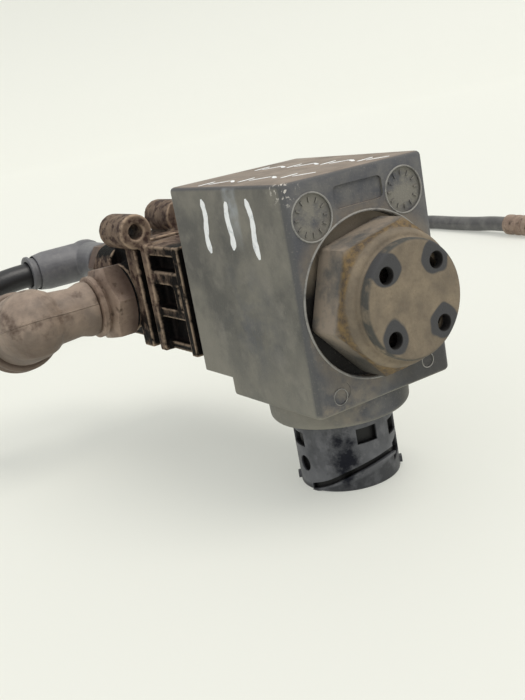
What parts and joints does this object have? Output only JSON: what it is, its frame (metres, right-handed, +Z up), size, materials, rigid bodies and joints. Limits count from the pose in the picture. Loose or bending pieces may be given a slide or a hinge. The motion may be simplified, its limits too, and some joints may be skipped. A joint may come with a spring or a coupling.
{
  "type": "solenoid directional valve",
  "caption": "Solenoid air valve: boxed coil with a bayonet connector below, vented hexagon cap in front, ribbed cast body behind, elbow fittings and a black hose.",
  "frame": {"origin": "where the coil's axis meets the flat rear face of the valve body", "axes": "+Y runs from the vented cap along the coil's axis to the rear face, +Z is up with the connector hanging down, +X is away from the large side elbow"},
  "size_m": [0.3718, 0.3297, 0.079],
  "materials": {
    "housing_plastic": "black glass-filled nylon, matte and dusty",
    "cap_plastic": "dark grey plastic under tan road dust",
    "connector_plastic": "satin dark grey moulding",
    "cast_aluminium": "die-cast, oxidised and grimy",
    "steel": "turned and zinc plated",
    "copper": "enamelled copper wire",
    "brass": "turned brass",
    "dusty_brass": "turned brass under tan dust",
    "dusty_nylon": "moulded nylon under tan dust",
    "black_nylon": "satin black moulding",
    "hose_plastic": "extruded black nylon tube",
    "rubber": "matte black rubber",
    "silicone": "orange silicone"
  },
  "bodies": {
    "valve": {"coil_housing": "housing_plastic", "exhaust_nut_cap": "cap_plastic", "bayonet_ring": "connector_plastic", "contact_carrier": "connector_plastic", "bobbin": "connector_plastic", "valve_body": "cast_aluminium", "yoke_frame": "steel", "guide_tube": "steel", "fixed_core": "steel", "armature_spring": "steel", "retaining_plate": "steel", "plate_screw_upper_left": "steel", "plate_screw_upper_right": "steel", "plate_screw_lower_left": "steel", "plate_screw_lower_right": "steel", "inlet_strainer": "steel", "rear_grab_ring": "steel", "winding": "copper", "contact_pin_left": "brass", "contact_pin_right": "brass", "inlet_nozzle": "brass", "silencer_disc": "brass", "side_elbow_stud": "dusty_brass", "rear_elbow_stud": "brass", "hose_end_ferrule": "dusty_brass", "hose_end_stud": "dusty_brass", "rear_elbow_body": "black_nylon", "hose": "hose_plastic", "guide_tube_o_ring": "rubber", "nut_washer": "rubber", "side_stud_seal": "rubber", "connector_seal": "silicone"},
    "armature": {"armature": "steel", "inlet_seal": "rubber", "exhaust_seal": "rubber"},
    "side_elbow": {"side_elbow_body": "dusty_nylon", "side_end_cap": "dusty_nylon", "side_elbow_o_ring": "rubber", "side_grab_ring": "steel"},
    "side_collet": {"side_collet": "black_nylon"},
    "rear_collet": {"rear_collet": "black_nylon"}
  },
  "joints": [
    {"name": "armature_slide", "type": "slide", "parent": "valve", "child": "armature", "axis": [0, -1, 0], "range_m": [0, 0.0012], "stiffness_N_per_m": 800, "springref_m": -0.004, "deforming": ["armature_spring"]},
    {"name": "side_elbow_swivel", "type": "hinge", "parent": "valve", "child": "side_elbow", "pos_m": [-0.0316, -0.011, -0.0035], "axis": [-1, 0, 0], "continuous": true},
    {"name": "side_collet_slide", "type": "slide", "parent": "side_elbow", "child": "side_collet", "axis": [0, -0.9659, 0.2588], "range_m": [0, 0.0012], "stiffness_N_per_m": 400, "springref_m": -0.001},
    {"name": "rear_collet_slide", "type": "slide", "parent": "valve", "child": "rear_collet", "axis": [1, 0, 0], "range_m": [0, 0.001], "stiffness_N_per_m": 400, "springref_m": -0.001}
  ]
}
